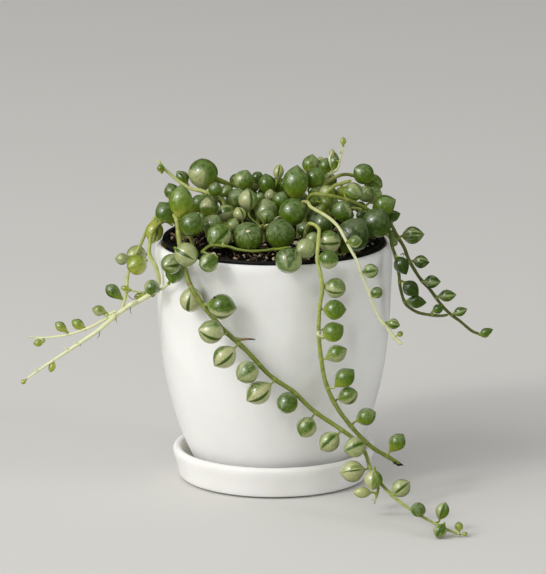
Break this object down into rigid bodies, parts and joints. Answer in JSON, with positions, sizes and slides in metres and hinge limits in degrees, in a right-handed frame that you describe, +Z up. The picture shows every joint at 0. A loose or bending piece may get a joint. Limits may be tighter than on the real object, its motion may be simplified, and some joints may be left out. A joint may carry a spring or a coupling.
{
  "type": "potted string of pearls",
  "caption": "Trailing succulent with round bead-like variegated leaves, in a black plastic nursery pot inside a bulging white ceramic pot that stands on a white saucer.",
  "frame": {"origin": "middle of the saucer's flat underside, on the axis of the pot", "axes": "+Z up along the pot's axis, +X to the viewer's right, along the longest side, -Y towards the viewer"},
  "size_m": [0.1982, 0.1627, 0.1456],
  "materials": {
    "white_ceramic": "matte white",
    "black_plastic": "satin black, a little scuffed",
    "potting_mix": "damp dark mix with bark, grit and fibres",
    "pearl_foliage": "waxy green skin with cream patches, windows and pale stems"
  },
  "bodies": {
    "root": {"ceramic_saucer": "white_ceramic", "ceramic_pot": "white_ceramic", "nursery_liner": "black_plastic", "potting_mix": "potting_mix", "front_left_stem": "pearl_foliage", "front_middle_stem": "pearl_foliage", "front_right_stem": "pearl_foliage", "right_outer_stem": "pearl_foliage", "right_inner_stem": "pearl_foliage", "left_stems": "pearl_foliage", "left_back_spray": "pearl_foliage", "middle_back_spray": "pearl_foliage", "right_back_spray": "pearl_foliage", "right_spray": "pearl_foliage", "middle_spray": "pearl_foliage", "left_front_spray": "pearl_foliage", "soil_runner": "pearl_foliage", "right_front_spray": "pearl_foliage", "far_stem_1": "pearl_foliage", "far_stem_2": "pearl_foliage", "far_stem_3": "pearl_foliage", "far_stem_4": "pearl_foliage", "far_stem_5": "pearl_foliage", "far_stem_6": "pearl_foliage"}
  },
  "joints": []
}
